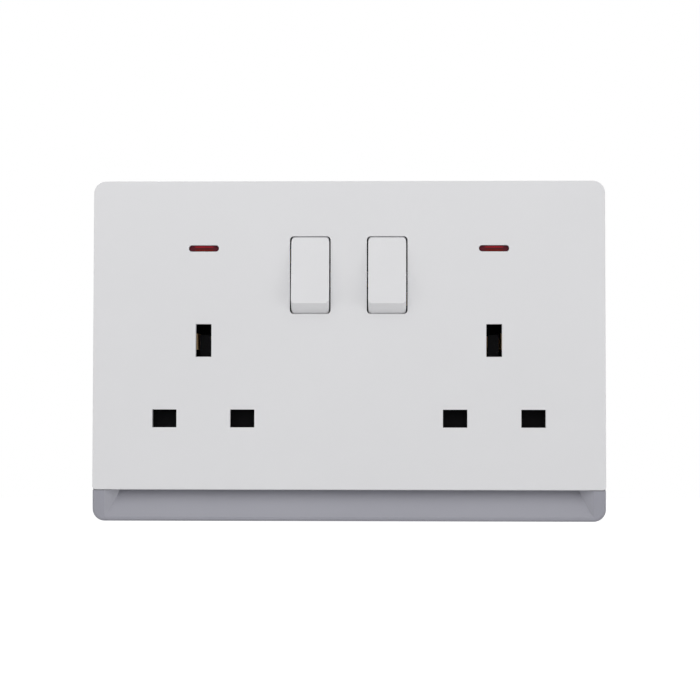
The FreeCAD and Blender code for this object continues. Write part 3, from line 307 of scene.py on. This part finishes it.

# %% [markdown]
# ## Springs of round wire
#
# The coil springs come as square wire in flat steps, which is enough to test how they fit. A real
# one is wound from round wire, with its end turns laid flat. So each is drawn again as a tube round
# a helix, in the place of its solid. A real spring also shortens as it is pressed, and a stiff coil
# would cut through the shutter or plunger that presses it. Here each coil is laid out along its
# joint's axis from the end that stays put.


# %% A wound spring as a surface
def helix_tube(outer, wire, turns, length, steps=24, sides=10):
    """Corners and faces of a closed tube round a helix, from 0 up to its length on Z.

    The angle grows evenly with the turns. The height grows by a little over one wire in the first
    and the last turn, and evenly between them. Each ring is a circle of the wire's radius, spanned
    by the outward direction at its angle and Z, and one flat face closes each end.
    """
    turn = np.linspace(0, turns, turns * steps + 1)
    close = 1.05 * wire
    height = np.interp(
        turn, [0, 1, turns - 1, turns],
        [wire / 2, wire / 2 + close, length - wire / 2 - close, length - wire / 2],
    )
    about = 2 * np.pi * turn[:, None]
    round_wire = 2 * np.pi * np.arange(sides)[None, :] / sides
    reach = outer / 2 - wire / 2 + wire / 2 * np.cos(round_wire)
    corners = np.stack([
        reach * np.cos(about),
        reach * np.sin(about),
        height[:, None] + wire / 2 * np.sin(round_wire),
    ], axis=-1)
    ring, side = np.meshgrid(np.arange(len(turn) - 1), np.arange(sides), indexing="ij")
    after = (side + 1) % sides
    faces = np.stack([
        ring * sides + side, (ring + 1) * sides + side, (ring + 1) * sides + after, ring * sides + after,
    ], axis=-1).reshape(-1, 4).tolist()
    faces.append(list(range(sides)))
    faces.append(list(range(len(turn) * sides - 1, (len(turn) - 1) * sides - 1, -1)))
    return corners.reshape(-1, 3), faces


# %% [markdown]
# A spring's size and lean come from its solid's box and from the axis of the joint that presses it.
# The box of a leaning ring is wider than its own thickness, and that share is taken off first.

# %% Wind the four springs
joints = {joint["name"]: joint for joint in frame["joints"]}
shutter_wire, shutter_turns = 0.0004, 6
plunger_wire, plunger_turns = 0.00035, 5


def wind(node, joint, body, wire, turns):
    """A wound spring in the place of a node, laid along its joint's axis from the end that stays put."""
    low, high = (np.array(corner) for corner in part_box(node))
    along = np.array(joints[joint]["axis"], float)
    along = along / np.linalg.norm(along)
    main = int(np.argmax(np.abs(along)))
    outer = high[0] - low[0]
    lean = outer * math.sqrt(max(0.0, 1 - along[main] ** 2))
    length = (high[main] - low[main] - lean) / abs(along[main])
    fixed = (low + high) / 2 + along * length / 2
    across = np.array([1.0, 0.0, 0.0])
    corners, faces = helix_tube(outer, wire, turns, length)
    corners = fixed + corners @ np.array([across, np.cross(-along, across), -along])
    mesh = bpy.data.meshes.new("wound_" + node)
    mesh.from_pydata(corners.tolist(), [], faces)
    mesh.shade_smooth()
    mesh.materials.append(spring_steel)
    made = bpy.data.objects.new("wound_" + node, mesh)
    bpy.context.scene.collection.objects.link(made)
    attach(made, body)
    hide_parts(node)
    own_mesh(made)


for side in ("left", "right"):
    wind("shutter_spring_" + side, "shutter_slide_" + side, "base", shutter_wire, shutter_turns)
    wind("plunger_spring_" + side, "plunger_slide_" + side, "rocker_" + side, plunger_wire, plunger_turns)

# %% [markdown]
# ## Floor and background
#
# The photograph has a plain white ground with no shadow in it. A floor well below the socket keeps
# its soft shadow out of the picture. It shows white to the camera, as the world does, because it
# glows for camera rays and adds what its own tone leaves out.

# %% A pale floor
floor_half = 6.0
floor_height = -0.26
floor_tone = 0.70
floor_glow = 0.70


def ground(name, half, height):
    """A flat square of side 2 half at the given height, from its four corners."""
    corners = [(-half, -half, height), (half, -half, height), (half, half, height), (-half, half, height)]
    mesh = bpy.data.meshes.new(name)
    mesh.from_pydata(corners, [], [(0, 1, 2, 3)])
    made = bpy.data.objects.new(name, mesh)
    bpy.context.scene.collection.objects.link(made)
    return made


floor = ground("floor", floor_half, floor_height)
paper = bpy.data.materials.new("floor_paper")
paper.use_nodes = True
paper_shader = paper.node_tree.nodes["Principled BSDF"]
paper_shader.inputs["Base Color"].default_value = (floor_tone, floor_tone, floor_tone, 1)
paper_shader.inputs["Roughness"].default_value = 0.9
paper_light = paper.node_tree.nodes.new("ShaderNodeLightPath")
paper_glow = paper.node_tree.nodes.new("ShaderNodeMath")
paper_glow.operation = "MULTIPLY"
paper_glow.inputs[1].default_value = floor_glow
paper.node_tree.links.new(paper_light.outputs["Is Camera Ray"], paper_glow.inputs[0])
paper_shader.inputs["Emission Color"].default_value = (1, 1, 1, 1)
paper.node_tree.links.new(paper_glow.outputs["Value"], paper_shader.inputs["Emission Strength"])
floor.data.materials.append(paper)
print("floor at", floor_height, "with material", paper.name)

# %% [markdown]
# ## Light
#
# A product table has large soft lamps, so the plate is nearly even, a little brighter at the top.
# The key lamp is wide for its distance, because the shade under the cover's edge fades slowly down
# the finger scoop. Two more stand low at the sides, because the scoop's ends and the lower band of
# the rockers are hardly darker than what is round them. The world gives a low even light, and shows
# as plain white to the camera and in reflections.

# %% The world's light
even_light = 0.46
plain_white = 1.0
world = bpy.data.worlds.new("studio")
bpy.context.scene.world = world
world.use_nodes = True
sky = world.node_tree
sky.nodes.clear()
path = sky.nodes.new("ShaderNodeLightPath")
seen = sky.nodes.new("ShaderNodeMath")
seen.operation = "MAXIMUM"
sky.links.new(path.outputs["Is Camera Ray"], seen.inputs[0])
sky.links.new(path.outputs["Is Glossy Ray"], seen.inputs[1])
soft = sky.nodes.new("ShaderNodeBackground")
soft.inputs["Color"].default_value = (1, 1, 1, 1)
soft.inputs["Strength"].default_value = even_light
white = sky.nodes.new("ShaderNodeBackground")
white.inputs["Color"].default_value = (1, 1, 1, 1)
white.inputs["Strength"].default_value = plain_white
blend = sky.nodes.new("ShaderNodeMixShader")
out = sky.nodes.new("ShaderNodeOutputWorld")
sky.links.new(seen.outputs["Value"], blend.inputs["Fac"])
sky.links.new(soft.outputs["Background"], blend.inputs[1])
sky.links.new(white.outputs["Background"], blend.inputs[2])
sky.links.new(blend.outputs["Shader"], out.inputs["Surface"])
print("world", world.name, "gives", even_light)

# %% [markdown]
# An area lamp shines along its own -Z. Turning that axis from the lamp's place towards the plate's
# middle, which is the origin, aims it. The rear lamp adds little to the photographer's view. It
# lights the housing for someone who walks round the socket.


# %% Four lamps
def lamp(name, place, side, power):
    """A square area lamp of the given side in metres, turned from its place towards the origin."""
    light = bpy.data.lights.new(name, "AREA")
    light.shape = "SQUARE"
    light.size = side
    light.energy = power
    made = bpy.data.objects.new(name, light)
    made.location = place
    made.rotation_euler = (-Vector(place)).to_track_quat("-Z", "Y").to_euler()
    bpy.context.scene.collection.objects.link(made)
    print("lamp", name, "at", place, "side", side, "power", power)


lamp("key", place=(-0.05, -0.44, 0.34), side=0.62, power=1.43)
lamp("side_right", place=(1.0, -0.55, -0.30), side=0.6, power=6.6)
lamp("side_left", place=(-1.0, -0.55, -0.30), side=0.6, power=4.3)
lamp("rear", place=(-0.6, 1.3, 0.9), side=1.0, power=11.0)

# %% [markdown]
# ## Camera
#
# Across the picture the plate's left and right edges lean apart by half a percent, and the right
# side is taller than the left by about as much. That puts the camera slightly below and slightly
# to the right of the plate's middle, at a little over half a metre.

# %% The photographer's place
photo_pixels = 700
pixels_per_mm = 3.513
plate_middle = (348.6, 350.6)
camera_below = math.radians(2.35)
camera_right = math.radians(1.35)
camera_roll = math.radians(0.08)
lens_mm = 99.0
sensor_mm = 36.0
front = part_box("front_cover")[0][1]
view_wide = photo_pixels / pixels_per_mm / 1000
distance = view_wide * lens_mm / sensor_mm
aim = Vector((
    (photo_pixels / 2 - plate_middle[0]) / pixels_per_mm / 1000,
    front,
    (plate_middle[1] - photo_pixels / 2) / pixels_per_mm / 1000,
))
way = Vector((
    math.sin(camera_right) * math.cos(camera_below),
    -math.cos(camera_right) * math.cos(camera_below),
    -math.sin(camera_below),
))
camera_data = bpy.data.cameras.new("camera")
camera_data.lens = lens_mm
camera_data.sensor_width = sensor_mm
camera = bpy.data.objects.new("camera", camera_data)
camera.location = aim + way * distance
camera.rotation_euler = ((-way).to_track_quat("-Z", "Y") @ Quaternion((0, 0, 1), camera_roll)).to_euler()
bpy.context.scene.collection.objects.link(camera)
bpy.context.scene.camera = camera
bpy.context.scene.view_settings.view_transform = "Standard"
print("camera", [round(v, 4) for v in camera.location])
